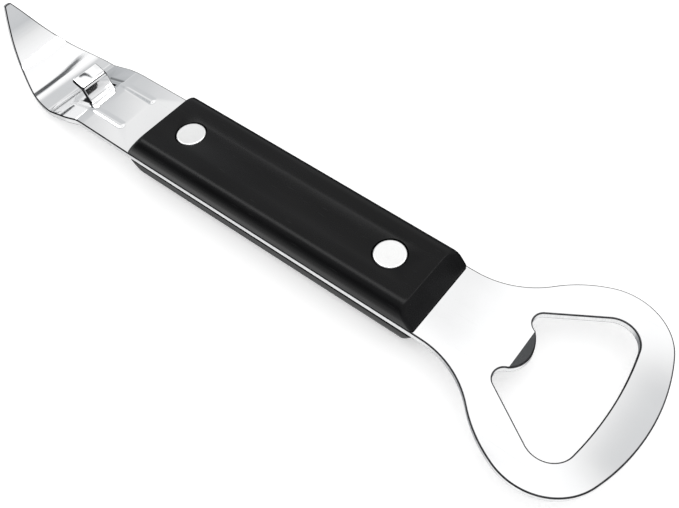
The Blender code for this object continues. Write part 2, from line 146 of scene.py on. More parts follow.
class OpenerPiercerSizes(bpy.types.PropertyGroup):
    """Sizes of the piercer, most of them measured along its upper face."""
    neck_long: length("Flat neck between the handle and the first bend", 16.8 * MM)
    swell_rise: length("How much wider than the neck the piercer is", 0.44 * MM)
    swell_start: length("Where the swell starts", 1.5 * MM)
    swell_long: length("Length over which it swells", 7.0 * MM)
    shoulder: length("Where the sides and the point's edges meet", 20.5 * MM)
    shoulder_radius: length("Radius of that corner", 30.0 * MM)
    tip_half: length("Half width of the blunt tip", 0.95 * MM)
    bow: length("How far the point's edges bow outwards", 0.3 * MM)
    tip_thick: length("Thickness the tip is ground to", 1.1 * MM)
    grind_start: length("Where the grinding starts", 20.0 * MM)
    bead_clear: length("From the catch to a bead's spine", 1.2 * MM)
    bead_radius: length("Half width of a stiffening bead", 1.45 * MM)
    bead_height: length("How far a bead stands up", 0.2 * MM)
    bead_back: length("How far a bead runs back from the first bend", 8.4 * MM)
    bead_forward: length("How far it runs forward of the bend", 9.6 * MM)


class OpenerCatchSizes(bpy.types.PropertyGroup):
    """Sizes of the rim catch."""
    base: length("Distance along the piercer", 4.5 * MM)
    half: length("Half width of the catch", 3.9 * MM)
    thick: length("Thickness of the catch", 1.4 * MM)
    root: length("How far the catch reaches into the plate", 0.9 * MM)
    kerf: length("Gap between the catch and its window", 0.4 * MM)
    window: length("Length of the window", 4.6 * MM)
    edge: length("Radius on the catch's edges", 0.55 * MM)
    rise_radius: length("Radius of the bend out of the plate", 0.8 * MM)
    rise_turn: turn("Turn of that bend", 93.5)
    rise_long: length("Height of the catch's wall", 2.6 * MM)
    fold_radius: length("Radius of the fold over the rim", 1.7 * MM)
    fold_turn: turn("Turn of that fold", 57.0)
    fold_long: length("Length of the catch's ledge", 3.05 * MM)


class OpenerScaleSizes(bpy.types.PropertyGroup):
    """Sizes of the handle scales."""
    shoulder: length("Round along the long edges", 3.3 * MM)
    point_run: length("How far that end face leans in", 4.0 * MM)
    loop_run: length("How far that end face leans in", 3.2 * MM)
    corner: length("Corner in plan at the plate", 0.8 * MM)
    top_corner: length("Corner in plan at the flat face", 1.3 * MM)
    crest: length("Small round where the end face meets the flat face", 0.35 * MM)
    hem: length("Small round along the edge at the plate", 0.12 * MM)
    seat_chamfer: length("Broken edge around each rivet seat", 0.12 * MM)


class OpenerRivetSizes(bpy.types.PropertyGroup):
    """Sizes of the cutler's rivets."""
    head_thick: length("Thickness of both heads", 1.45 * MM)
    edge: length("Round on the rim of a head", 0.32 * MM)
    dish: length("Depth of the faint dish turned into a head", 0.03 * MM)
    sleeve: length("Outer radius of the sleeve", 2.4 * MM)
    pin: length("Radius of the pin", 1.25 * MM)
    segments: IntProperty(description="Facets around a rivet", default=96, min=16)


class OpenerFinishes(bpy.types.PropertyGroup):
    """Colours and gloss."""
    steel: colour("Colour of the polished faces", (0.87, 0.873, 0.878))
    steel_rough: share("Roughness of the polished faces", 0.055)
    # near black arris colour: painted dark reflection that outlines every sheared edge
    arris: colour("Colour of the tumbled arrises", (0.05, 0.05, 0.052))
    cut: colour("Colour of the sheared edges", (0.78, 0.785, 0.79))
    cut_rough: share("Roughness of the sheared edges", 0.34)
    plastic: colour("Colour of the scales", (0.0035, 0.0035, 0.0038))
    plastic_rough: share("Roughness of the scales", 0.27)
    rivet: colour("Colour of the rivet heads", (0.80, 0.80, 0.795))
    rivet_rough: share("Roughness of the rivet heads", 0.36)


class OpenerStageSettings(bpy.types.PropertyGroup):
    """Floor, light and camera."""
    floor: length("Side of the square floor", 3.0)
    floor_colour: colour("Colour of the floor", (0.93, 0.93, 0.93))
    sky: amount("Brightness of the ceiling", 1.2)
    ambient: amount("Light from all round", 1.05)
    glow: amount("Light that the lit floor gives off", 0.3)
    crest: amount("Power of the light on the end slope", 0.5, "POWER")
    strip: amount("Power of the overhead strip", 2.8, "POWER")
    lens: amount("Focal length", 37.98, "CAMERA")


GROUPS = (
    ("opener_plate", OpenerPlateSizes),
    ("opener_hole", OpenerHoleSizes),
    ("opener_piercer", OpenerPiercerSizes),
    ("opener_catch", OpenerCatchSizes),
    ("opener_scales", OpenerScaleSizes),
    ("opener_rivets", OpenerRivetSizes),
    ("opener_finishes", OpenerFinishes),
    ("opener_stage", OpenerStageSettings),
)


# ------------------------------------------------------------------ materials

class Signal:
    """A value in a node tree, which plain arithmetic adds nodes to."""

    def __init__(self, board, socket):
        self.board = board
        self.socket = socket

    def math(self, operation, *others, clamp=False):
        return self.board.number(operation, self, *others, clamp=clamp)

    def __add__(self, other):
        return self.math("ADD", other)

    __radd__ = __add__

    def __sub__(self, other):
        return self.math("SUBTRACT", other)

    def __rsub__(self, other):
        return self.board.number("SUBTRACT", other, self)

    def __mul__(self, other):
        return self.math("MULTIPLY", other)

    def __truediv__(self, other):
        return self.math("DIVIDE", other)

    def __pow__(self, other):
        return self.math("POWER", other)

    def clamped(self):
        return self.math("ADD", 0.0, clamp=True)

    def towards(self, other, factor):
        """This value moved towards another by a factor."""
        return self + (other - self) * factor

    def steps(self, *stops):
        """A value that follows (place, level) stops, straight between them."""
        values = {"Fac": self}
        stops = [(place, (level / 2,) * 3) for place, level in stops]
        return self.board.add("ShaderNodeValToRGB", {"stops": stops}, values) * 2.0

    def ramp(self, low, high):
        """0 below low, 1 above high, smooth between."""
        return self.board.add("ShaderNodeMapRange", {"interpolation_type": "SMOOTHSTEP"},
                              {"Value": self, "From Min": low, "From Max": high})

    def between(self, low, high, soft):
        """1 between low and high, with soft ends."""
        return self.ramp(low - soft, low) * (1 - self.ramp(high, high + soft))


class Board:
    """The node tree of a material or a world, and the shader that it feeds."""

    def __init__(self, owner, shader="Principled BSDF"):
        self.owner = owner
        owner.use_nodes = True
        self.tree = owner.node_tree
        self.shader = self.tree.nodes[shader]

    def plug(self, socket, value):
        if isinstance(value, Signal):
            self.tree.links.new(value.socket, socket)
        else:
            if hasattr(value, "__len__") and len(value) == 3 and socket.type == "RGBA":
                value = (*value, 1.0)
            socket.default_value = value

    def add(self, kind, settings=None, values=None, output=0):
        """Add a node: its settings first, then the values or links of its sockets."""
        node = self.tree.nodes.new(kind)
        for name, value in (settings or {}).items():
            if name == "stops":
                while len(node.color_ramp.elements) < len(value):
                    node.color_ramp.elements.new(0.5)
                for element, (place, tint) in zip(node.color_ramp.elements, value):
                    element.position = place
                    element.color = (*tint, 1.0)
            else:
                setattr(node, name, value)
        for name, value in (values or {}).items():
            self.plug(node.inputs[name], value)
        return Signal(self, node.outputs[output])

    def number(self, operation, *values, clamp=False):
        settings = {"operation": operation, "use_clamp": clamp}
        return self.add("ShaderNodeMath", settings, dict(enumerate(values)))

    def place(self):
        """Where a point is on the piece, in metres."""
        return self.add("ShaderNodeTexCoord", output="Object")

    def noise(self, vector, scale=1.0, detail=2.0, roughness=0.5):
        """Noise at one scale, or at one for each axis."""
        if isinstance(scale, tuple):
            vector = self.add("ShaderNodeVectorMath", {"operation": "MULTIPLY"},
                              {0: vector, 1: scale})
            scale = 1.0
        values = {"Vector": vector, "Scale": scale, "Detail": detail, "Roughness": roughness}
        return self.add("ShaderNodeTexNoise", {"noise_dimensions": "3D"}, values)

    def blend(self, factor, first, second):
        """Mix two colours."""
        node = self.tree.nodes.new("ShaderNodeMix")
        node.data_type = "RGBA"
        ends = [s for s in node.inputs if s.type == "RGBA"]
        self.plug(node.inputs[0], factor)
        for socket, value in zip(ends, (first, second)):
            self.plug(socket, value)
        return Signal(self, [s for s in node.outputs if s.type == "RGBA"][0])

    def bump(self, height, distance, strength=1.0, under=None):
        values = {"Height": height, "Distance": distance, "Strength": strength}
        if under:
            values["Normal"] = under
        return self.add("ShaderNodeBump", None, values)

    def set(self, **values):
        for name, value in values.items():
            self.plug(self.shader.inputs[name.replace("_", " ")], value)
        return self.owner

    def parts(self, vector):
        """The three numbers of a vector."""
        first = self.add("ShaderNodeSeparateXYZ", None, {"Vector": vector})
        return [Signal(self, socket) for socket in first.socket.node.outputs]


def tinted(colour, amount):
    """A colour made darker or lighter."""
    return tuple(min(channel * amount, 1.0) for channel in colour)


def polished_steel(finish):
    """Bright rolled sheet, polished along its length, with handling marks."""
    board = Board(bpy.data.materials.new("polished_steel"))
    place = board.place()
    grain = board.noise(place, (260, 7000, 7000), detail=3)
    cross = board.noise(place, (1500, 9000, 5000), detail=2)
    cloud = board.noise(place, scale=55, detail=3, roughness=0.6)
    smear = board.noise(place, (35, 140, 140), detail=4, roughness=0.65)
    scratch = board.noise(place, (90, 2600, 2600), detail=1)
    marks = scratch.ramp(0.67, 0.74)
    rough = finish.steel_rough + (grain - 0.5) * 0.03 + (smear - 0.5) * 0.05 + marks * 0.03
    tone = board.blend(cloud.ramp(0.35, 0.7), tinted(finish.steel, 0.965), finish.steel)
    tone = board.blend(marks * 0.12, tone, tinted(finish.steel, 0.85))
    wave = board.bump(board.noise(place, scale=95, detail=1), 0.012 * MM, 0.3)
    fine = board.bump(grain + cross * 0.4, 0.0008 * MM, 0.4, wave)
    return board.set(Base_Color=tone, Metallic=1.0, Roughness=rough.clamped(), Normal=fine)


def sheared_steel(finish):
    """Sheared edge of the sheet: a burnished band above a torn one."""
    board = Board(bpy.data.materials.new("sheared_steel"))
    place = board.place()
    tear = board.noise(place, (5200, 5200, 900), detail=3)
    cloud = board.noise(place, scale=420, detail=3)
    rough = finish.cut_rough + (tear - 0.5) * 0.22 + (cloud - 0.5) * 0.10
    tone = board.blend(tear.ramp(0.35, 0.65), tinted(finish.cut, 0.86), finish.cut)
    tone = board.blend(cloud.ramp(0.5, 0.75) * 0.35, tone, tinted(finish.cut, 1.25))
    rough_face = board.bump(tear, 0.01 * MM, 0.5)
    return board.set(Base_Color=tone, Metallic=1.0, Roughness=rough.clamped(), Normal=rough_face)


def painted_dark_arris(finish):
    """The narrow round between a polished face and a sheared edge: dull, and painted near black
    as a dark reflection that outlines the edge.
    """
    board = Board(bpy.data.materials.new("painted_dark_arris"))
    place = board.place()
    nick = board.noise(place, scale=900, detail=3)
    rub = board.noise(place, (300, 300, 2400), detail=2)
    rough = 0.32 + (nick - 0.5) * 0.2 + (rub - 0.5) * 0.1
    # near black tone with random nicks: painted dark reflection along the edge
    tone = board.blend(nick.ramp(0.35, 0.7), tinted(finish.arris, 0.8), tinted(finish.arris, 1.3))
    dent = board.bump(nick, 0.006 * MM, 0.4)
    return board.set(Base_Color=tone, Metallic=1.0, Roughness=rough.clamped(), Normal=dent,
                     Specular_Tint=(0.15, 0.15, 0.155))


def moulded_plastic(finish):
    """Black moulded plastic: fine spark texture, flow marks and a few scuffs."""
    board = Board(bpy.data.materials.new("moulded_plastic"))
    place = board.place()
    spark = board.noise(place, scale=3800, detail=2)
    pebble = board.noise(place, scale=1500, detail=2)
    flow = board.noise(place, (60, 260, 260), detail=3)
    scuff = board.noise(place, (240, 3000, 3000), detail=1).ramp(0.70, 0.76)
    rough = finish.plastic_rough + (flow - 0.5) * 0.06 + (spark - 0.5) * 0.06 + scuff * 0.12
    tone = board.blend(flow.ramp(0.3, 0.75), finish.plastic, tinted(finish.plastic, 1.5))
    tone = board.blend(scuff * 0.3, tone, (0.016, 0.016, 0.017))
    skin = board.bump(pebble, 0.004 * MM, 0.5, board.bump(flow, 0.02 * MM, 0.25))
    skin = board.bump(spark, 0.0018 * MM, 0.6, skin)
    return board.set(Base_Color=tone, Roughness=rough.clamped(), Normal=skin,
                     Specular_IOR_Level=0.13)


def turned_steel(finish):
    """Satin rivet steel with fine rings left by turning."""
    board = Board(bpy.data.materials.new("turned_steel"))
    x, y, _ = board.parts(board.place())
    across = x.math("ABSOLUTE") - RIVET_X
    reach = (across * across + y * y).math("SQRT")
    rings = (reach * (2 * math.pi / (0.16 * MM))).math("SINE")
    line = board.noise(board.add("ShaderNodeCombineXYZ", None, {"X": reach * 9000}), detail=2)
    cloud = board.noise(board.place(), scale=700, detail=3)
    rough = finish.rivet_rough + (line - 0.5) * 0.14 + (cloud - 0.5) * 0.08
    tone = board.blend(line.ramp(0.3, 0.7), tinted(finish.rivet, 0.92), finish.rivet)
    tone = board.blend(cloud.ramp(0.55, 0.8) * 0.3, tone, tinted(finish.rivet, 0.82))
    grooves = board.bump(rings * 0.4 + line, 0.0022 * MM, 0.5)
    return board.set(Base_Color=tone, Metallic=1.0, Roughness=rough.clamped(), Normal=grooves)


# ------------------------------------------------------------------- outlines

def arc_steps(radius, turn, step):
    """How many straight segments stand for an arc."""
    return max(4, math.ceil(abs(turn) / step), math.ceil(radius * abs(turn) / (1.2 * MM)))


class Trace:
    """An outline drawn as it is walked: straights, and arcs that turn left when positive."""

    def __init__(self, points, heading, step):
        self.points = list(points)
        self.heading = heading
        self.step = step

    def arc(self, radius, turn):
        steps = arc_steps(radius, turn, self.step)
        side = math.copysign(1.0, turn)
        x, y = self.points[-1]
        cx = x - side * radius * math.sin(self.heading)
        cy = y + side * radius * math.cos(self.heading)
        for number in range(1, steps + 1):
            angle = self.heading + turn * number / steps
            self.points.append((cx + side * radius * math.sin(angle),
                                cy - side * radius * math.cos(angle)))
        self.heading += turn

    def line(self, distance, step=3.0 * MM):
        steps = max(1, math.ceil(distance / step))
        x, y = self.points[-1]
        for number in range(1, steps + 1):
            run = distance * number / steps
            self.points.append((x + run * math.cos(self.heading),
                                y + run * math.sin(self.heading)))

    def to_axis(self):
        """Close onto the long axis, which the outline crosses square on."""
        radius = self.points[-1][1] / math.cos(self.heading)
        self.arc(radius, -math.pi / 2 - self.heading)
        self.points[-1] = (self.points[-1][0], 0.0)


def circle(x, radius, segments):
    """Points round a circle whose middle is on the long axis."""
    angles = [2 * math.pi * number / segments for number in range(segments)]
    return [(x + radius * math.cos(a), radius * math.sin(a)) for a in angles]


def round_corners(radius, steps):
    """Each point of four rounded corners: the corner's two signs, then its own offsets."""
    for turn, sx, sy in ((0, 1, 1), (90, -1, 1), (180, -1, -1), (270, 1, -1)):
        for number in range(steps + 1):
            angle = math.radians(turn + 90 / steps * number)
            yield sx, sy, radius * math.cos(angle), radius * math.sin(angle)


def mirrored(half):
    """A closed outline from its upper half, whose end points lie on the axis."""
    return half + [(x, -y) for x, y in reversed(half[1:-1])]


def offset(outline, distance):
    """The same outline moved sideways, to the right of the way it is walked."""
    moved = []
    count = len(outline)
    for number, here in enumerate(outline):
        here = Vector(here)
        into = (here - Vector(outline[number - 1])).normalized()
        away = (Vector(outline[(number + 1) % count]) - here).normalized()
        normal = Vector((into.y + away.y, -into.x - away.x)).normalized()
        stretch = max(normal.dot(Vector((into.y, -into.x))), 0.6)
        moved.append(tuple(here + normal * distance / stretch))
    return moved


class BentStrip:
    """The upper face of a bent strip seen from the side, by distance along it."""

    def __init__(self, start, heading, bends, step):
        self.step = step
        self.knots = []
        distance, point = 0.0, start
        for radius, turn, straight in bends:
            bend = math.copysign(radius, turn)
            self.knots.append((distance, point, heading, bend))
            distance += radius * abs(turn)
            point = self.travel(point, heading, bend, radius * abs(turn))
            heading += turn
            self.knots.append((distance, point, heading, math.inf))
            distance += straight
            point = self.travel(point, heading, math.inf, straight)
        self.knots.append((distance, point, heading, math.inf))
        self.length = distance

    @staticmethod
    def travel(point, heading, radius, distance):
        """Move along -X and up at the heading, on a straight or on an arc."""
        if math.isinf(radius):
            return point + Vector((-math.cos(heading), 0, math.sin(heading))) * distance
        end = heading + distance / radius
        return point + radius * Vector((math.sin(heading) - math.sin(end), 0,
                                        math.cos(heading) - math.cos(end)))

    def at(self, distance):
        """Point on the upper face and the face's normal."""
        start, point, heading, radius = [k for k in self.knots if k[0] <= distance + 1e-9][-1]
        run = distance - start
        angle = heading + (0.0 if math.isinf(radius) else run / radius)
        normal = Vector((math.sin(angle), 0, math.cos(angle)))
        return self.travel(point, heading, radius, run), normal

    def rows(self):
        """Distances at which a mesh needs a row of points."""
        rows = []
        for knot, after in zip(self.knots, self.knots[1:]):
            run = after[0] - knot[0]
            radius = abs(knot[3])
            steps = 1 if math.isinf(radius) else arc_steps(radius, run / radius, self.step)
            rows += [knot[0] + run * number / steps for number in range(steps)]
        return rows + [self.length]


# --------------------------------------------------------------------- meshes

def finished(name, bm, materials, sharp=math.radians(32)):
    """Turn a bmesh into a piece, smooth apart from its sharp edges."""
    bm.normal_update()
    bmesh.ops.recalc_face_normals(bm, faces=bm.faces)
    mesh = bpy.data.meshes.new(name)
    bm.to_mesh(mesh)
    bm.free()
    mesh.shade_smooth()
    mesh.set_sharp_from_angle(angle=sharp)
    for material in materials:
        mesh.materials.append(material)
    piece = bpy.data.objects.new(name, mesh)
    bpy.context.scene.collection.objects.link(piece)
    return piece


def evened(piece):
    """Let large flat faces set the shading of the small ones beside them."""
    weights = piece.modifiers.new("evened", "WEIGHTED_NORMAL")
    weights.mode = "FACE_AREA"
    weights.weight = 100
    weights.keep_sharp = True


def stand(place, *axes):
    """A place together with the directions of three axes."""
    matrix = Matrix(axes).transposed().to_4x4()
    matrix.translation = place
    return matrix


def joined_rings(bm, rings, material=0, closed=True):
    """Faces between rings of the same number of points."""
    for first, second in zip(rings, rings[1:]):
        for number in range(len(first) - (0 if closed else 1)):
            after = (number + 1) % len(first)
            face = bm.faces.new((first[number], first[after], second[after], second[number]))
            face.material_index = material


def lathe(name, x, profile, segments, materials):
    """A piece spun from a profile of (radius, height) points about an upright axis at x."""
    bm = bmesh.new()
    rings = [[bm.verts.new((*point, z)) for point in circle(x, radius, segments if radius else 1)]
             for radius, z in profile]
    for first, second in zip(rings, rings[1:]):
        for number in range(segments):
            after = (number + 1) % segments
            corners = {first[number % len(first)]: 0, first[after % len(first)]: 0,
                       second[after % len(second)]: 0, second[number % len(second)]: 0}
            bm.faces.new(list(corners))
    return finished(name, bm, materials)


def rounded_edge(depth, radius, steps=4):
    """(inset, depth) points from the upper face round a sheet's edge to the lower one."""
    bend = [math.pi / 2 * number / steps for number in range(steps + 1)]
    upper = [(radius * (1 - math.sin(a)), -radius * (1 - math.cos(a))) for a in bend]
    return upper + [(inset, -depth - low) for inset, low in reversed(upper)]


class PlateShape:
    """Outlines of the flat blank, and where each point of it ends up once formed."""

    def __init__(self, scene):
        self.plate = scene.opener_plate
        self.hole = scene.opener_hole
        self.piercer = scene.opener_piercer
        self.catch = scene.opener_catch
        self.fold_x = self.plate.neck_end + self.hole.setback
        self.bend_x = FRONT_LOW.x - self.piercer.neck_long
        start = Vector((self.bend_x, 0, PLATE_TOP))
        self.strip = BentStrip(start, 0.0, PIERCER_BENDS, self.plate.arc_step)
        self.bead_y = self.catch.half + self.piercer.bead_clear
        self.bead_ends = (self.bend_x + self.piercer.bead_back,
                          self.bend_x - self.piercer.bead_forward)

    def half_width(self, distance):
        """Half width of the piercer, by distance along it."""
        sizes = self.piercer
        swell = min(max((distance - sizes.swell_start) / sizes.swell_long, 0.0), 1.0)
        neck = self.plate.neck_point
        full = neck + sizes.swell_rise * swell * swell * (3 - 2 * swell)
        slope = (neck + sizes.swell_rise - sizes.tip_half) / (self.strip.length - sizes.shoulder)
        edge = math.atan(slope)
        radius = sizes.shoulder_radius
        before = sizes.shoulder - radius * math.tan(edge / 2)
        if distance <= before:
            return full
        run = distance - before
        along = run / (self.strip.length - before)
        full += 4 * sizes.bow * along * (1 - along)
        if run < radius * math.sin(edge):
            return full - radius + math.sqrt(radius ** 2 - run ** 2)
        return full - (distance - sizes.shoulder) * slope

    def rows(self):
        """Distances along the piercer at which the blank gets a row of points."""
        sizes = self.piercer
        rows = set(self.strip.rows())
        bend = sizes.shoulder - sizes.shoulder_radius / 4
        for start, run in ((sizes.swell_start, sizes.swell_long),
                           (bend, self.strip.length - bend)):
            rows.update(start + run * number / 30 for number in range(31))
        kept = [0.0]
        for row in sorted(rows)[1:]:
            if row - kept[-1] > 0.12 * MM:
                kept.append(row)
        kept[-1] = self.strip.length
        return kept

    def outer(self):
        """Outline of the blank, walked clockwise seen from above."""
        sizes = self.plate
        loop = Trace([(sizes.neck_end, sizes.neck_loop)], 0.0, sizes.arc_step)
        loop.arc(sizes.flare_radius, sizes.flare_turn)
        loop.arc(sizes.cheek_radius, -sizes.cheek_turn)
        loop.arc(sizes.corner_radius, -sizes.corner_turn)
        loop.to_axis()
        neck = [(FRONT_HIGH.x, sizes.neck_loop), (0.0, (sizes.neck_loop + sizes.neck_point) / 2),
                (FRONT_LOW.x, sizes.neck_point)]
        side = [(self.bend_x - row, self.half_width(row)) for row in self.rows()]
        tip_x, tip_y = side[-1]
        # the nose is bowed forward, and the sides draw back so that it ends at the tip
        side = [(x + NOSE_LONG * max(0.0, 1 - (x - tip_x) / NOSE_BLEND), y) for x, y in side]
        blunt = [(tip_x - ahead + NOSE_LONG, tip_y * across)
                 for ahead, across in ((0.12 * MM, 0.8), (0.2 * MM, 0.4), (NOSE_LONG, 0.0))]
        return mirrored(loop.points[::-1] + neck + side + blunt)[::-1]

    def hole_outline(self):
        """Outline of the crown cap hole, walked anticlockwise."""
        sizes = self.hole
        radius = (sizes.lip_half ** 2 + sizes.lip_long ** 2) / (2 * sizes.lip_long)
        centre = self.fold_x + sizes.lip_long - radius
        half_turn = math.asin(sizes.lip_half / radius)
        lip = [(centre + radius * math.cos(half_turn * number / 18),
                radius * math.sin(half_turn * number / 18)) for number in range(19)]
        walk = Trace(lip, sizes.notch_start, self.plate.arc_step)
        walk.arc(sizes.notch_radius, sizes.side_angle - sizes.notch_start)
        walk.line(sizes.side_long)
        walk.arc(sizes.corner_radius, -sizes.corner_turn)
        walk.to_axis()
        return mirrored(walk.points)[::-1]

    def bead_ring(self, y, radius, steps=14):
        """Outline of a bead at a distance from its spine."""
        ring = []
        for end, centre in zip((0.0, math.pi), self.bead_ends):
            for number in range(steps + 1):
                angle = end - math.pi / 2 + math.pi * number / steps
                ring.append((centre + radius * math.cos(angle), y + radius * math.sin(angle)))
        return ring

    def lift(self, x, y):
        """How far a bead raises the plate."""
        spine = min(max(x, self.bead_ends[1]), self.bead_ends[0])
        reach = math.hypot(x - spine, abs(y) - self.bead_y) / self.piercer.bead_radius
        height = self.piercer.bead_height
        return height * 0.5 * (1 + math.cos(math.pi * reach)) if reach < 1 else 0.0

    def formed(self, point):
        """Where a point of the thick, flat blank ends up on the formed plate."""
        x, y, depth = point
        if x < self.bend_x:
            along = self.bend_x - x
            place, normal = self.strip.at(along)
            start = self.piercer.grind_start
            ground = max((along - start) / (self.strip.length - start), 0.0)
            depth *= 1 - ground * (1 - self.piercer.tip_thick / self.plate.thick)
            return Vector((0, y, 0)) + place + normal * (depth + self.lift(x, y))
        depth += self.lift(x, y)
        beyond = self.fold_x + self.hole.lip_long * 1.2
        if self.fold_x < x < beyond and abs(y) < self.hole.lip_half:
            depth -= (x - self.fold_x) * math.tan(self.hole.droop)
        return Vector((x, y, PLATE_TOP + depth))


def laid_out(bm, points, z):
    """Points of the blank, which is laid out in millimetres so that small edges fill cleanly."""
    return [bm.verts.new((x / MM, y / MM, z / MM)) for x, y in points]


def sheet_face(bm, rings, shape, z):
    """Fill one face of the blank inside its rings, with finer rings in the beads."""
    radius = shape.piercer.bead_radius
    places = [-shape.bead_y, shape.bead_y]
    beads = [laid_out(bm, shape.bead_ring(y, radius), z) for y in places]
    edges = [bm.edges.get((a, b)) or bm.edges.new((a, b)) for ring in rings + beads
             for a, b in zip(ring, ring[1:] + ring[:1])]
    bmesh.ops.triangle_fill(bm, use_beauty=True, edges=edges, normal=(0, 0, 1))
    for ring, y in zip(beads, places):
        for step in (0.85, 0.7, 0.55, 0.4, 0.25, 0.1):
            inner = laid_out(bm, shape.bead_ring(y, radius * step), z)
            joined_rings(bm, [ring, inner])
            ring = inner
        bm.faces.new(ring)


def plate_mesh(shape, sleeve_hole):
    """The formed plate without its catch."""
    bm = bmesh.new()
    thick = shape.plate.thick
    profile = rounded_edge(thick, shape.plate.edge)
    holes = [circle(side * RIVET_X, sleeve_hole, 48) for side in (-1, 1)]
    upper, lower = [], []
    # every outline is walked with the steel to its right
    for outline in [shape.outer(), shape.hole_outline()] + holes:
        rings = [laid_out(bm, offset(outline, inset), z) for inset, z in profile]
        middle = len(profile) // 2 - 1
        # the rounds along each edge take the near black arris finish: painted dark reflection;
        # the sheared band between them keeps its own colour
        joined_rings(bm, rings[:middle + 1], 2)
        joined_rings(bm, rings[middle:middle + 2], 1)
        joined_rings(bm, rings[middle + 1:], 2)
        upper.append(rings[0])
        lower.append(rings[-1])
    sheet_face(bm, upper, shape, 0.0)
    sheet_face(bm, lower, shape, -thick)
    for row in [shape.bend_x - row for row in shape.rows()[:-1]] + [shape.fold_x]:
        everything = bm.verts[:] + bm.edges[:] + bm.faces[:]
        bmesh.ops.bisect_plane(bm, geom=everything, dist=1e-4, plane_co=(row / MM, 0, 0),
                               plane_no=(1, 0, 0))
    for vert in bm.verts:
        vert.co = shape.formed(vert.co * MM)
    return bm


def window_mesh(shape):
    """Cutter for the window that the catch is lanced out of."""
    sizes = shape.catch
    place, normal = shape.strip.at(sizes.base + sizes.window / 2)
    along = Vector((0, 1, 0)).cross(normal) * -1
    middle = stand(place - normal * shape.plate.thick / 2, along, Vector((0, -1, 0)), normal)
    size = (sizes.window, 2 * (sizes.half + sizes.kerf), 4 * shape.plate.thick, 1.0)
    bm = bmesh.new()
    bmesh.ops.create_cube(bm, size=1.0)
    bm.transform(middle @ Matrix.Diagonal(size))
    # the window's walls take the near black arris finish: painted shade inside the window
    for face in bm.faces:
        face.material_index = 2
    return bm


def catch_mesh(shape):
    """The rim catch: a rounded strip rooted in the plate, up through the window, then over."""
    bm = bmesh.new()
    sizes = shape.catch
    root, normal = shape.strip.at(sizes.base - sizes.root)
    sunk = root - normal * (shape.plate.thick - sizes.thick) / 2
    heading = math.atan2(normal.x, normal.z)
    bends = (
        (1.0, 0.0, sizes.root),
        (sizes.rise_radius, sizes.rise_turn, sizes.rise_long),
        (sizes.fold_radius, -sizes.fold_turn, sizes.fold_long - sizes.edge),
    )
    strip = BentStrip(sunk, heading, bends, math.radians(4))
    section = []
    radius = sizes.edge
    for sx, sz, across, up in round_corners(radius, 6):
        section.append((sx * (sizes.half - radius) + across,
                        (-radius if sz > 0 else radius - sizes.thick) + up))
    rings = []
    for row in strip.rows():
        place, up = strip.at(row)
        if rings and (place - rings[-1][0]).length < 0.02 * MM:
            continue
        rings.append((place, up, 0.0))
    place, up = strip.at(strip.length)
    along = Vector((0, 1, 0)).cross(up) * -1
    for number in range(1, 7):
        angle = math.radians(15 * number)
        ahead = place + along * radius * math.sin(angle)
        rings.append((ahead, up, radius * (1 - math.cos(angle))))
    made = []
    core = -sizes.thick / 2
    for place, up, shrink in rings:
        keep = (sizes.half - shrink) / sizes.half
        squeeze = (sizes.thick / 2 - shrink) / (sizes.thick / 2)
        made.append([bm.verts.new(place + Vector((0, across * keep, 0))
                                  + up * (core + (high - core) * squeeze))
                     for across, high in section])
    joined_rings(bm, made)
    bm.faces.new(made[0])
    bm.faces.new(made[-1])
    bmesh.ops.recalc_face_normals(bm, faces=bm.faces)
    # the rims, and a wedge at each end of the fold, take the near black arris finish: painted
    # dark reflection
    turned = heading + sizes.rise_turn - sizes.fold_turn / 2
    fold = Vector((math.sin(turned), 0.0, math.cos(turned)))
    turned -= sizes.fold_turn / 2
    ahead = Vector((-math.cos(turned), 0.0, math.sin(turned)))
    middle = strip.at(strip.length - sizes.fold_long - sizes.fold_radius * sizes.fold_turn)[0].z
    for face in bm.faces:
        side = abs(face.normal.y)
        flat = Vector((face.normal.x, 0.0, face.normal.z))
        painted_dark_fold = flat.length > 0.1 and flat.angle(fold) < math.radians(7 + 24 * side)
        painted_dark_fold = painted_dark_fold and face.calc_center_median().z > middle
        if painted_dark_fold or side > 0.45 or flat.dot(ahead) > 0.7:
            face.material_index = 2
    return bm


def creased(mesh):
    """Part the shading of the faces of one finish from those of the next."""
    bm = bmesh.new()
    bm.from_mesh(mesh)
    for edge in bm.edges:
        if len({face.material_index for face in edge.link_faces}) > 1:
            edge.smooth = False
    bm.to_mesh(mesh)
    bm.free()


def carved(piece, tools, sharp):
    """Cut or join tools, each with its operation, and keep the result as the mesh."""
    for tool, operation in tools:
        modifier = piece.modifiers.new(tool.name, "BOOLEAN")
        modifier.operation = operation
        modifier.solver = "EXACT"
        modifier.object = tool
    bpy.context.view_layer.update()
    evaluated = piece.evaluated_get(bpy.context.evaluated_depsgraph_get())
    mesh = bpy.data.meshes.new_from_object(evaluated)
    piece.modifiers.clear()
    piece.data = mesh
    for tool, _ in tools:
        bpy.data.objects.remove(tool, do_unlink=True)
    mesh.shade_smooth()
    mesh.set_sharp_from_angle(angle=sharp)


# ------------------------------------------------------------------ operators

class OPENER_OT_plate(bpy.types.Operator):
    """Stamp, pierce and bend the steel plate."""
    bl_idname = "opener.plate"
    bl_label = "Steel Plate"

    def execute(self, context):
        scene = context.scene
        shape = PlateShape(scene)
        finish = scene.opener_finishes
        steels = [polished_steel(finish), sheared_steel(finish), painted_dark_arris(finish)]
        bm = plate_mesh(shape, scene.opener_rivets.sleeve + CLEARANCE)
        piece = finished("plate", bm, steels)
        window = finished("window", window_mesh(shape), steels)
        catch = finished("catch", catch_mesh(shape), steels)
        carved(piece, [(window, "DIFFERENCE"), (catch, "UNION")], math.radians(26))
        creased(piece.data)
        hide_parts("steel_plate")
        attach(piece, "root")
        return {"FINISHED"}


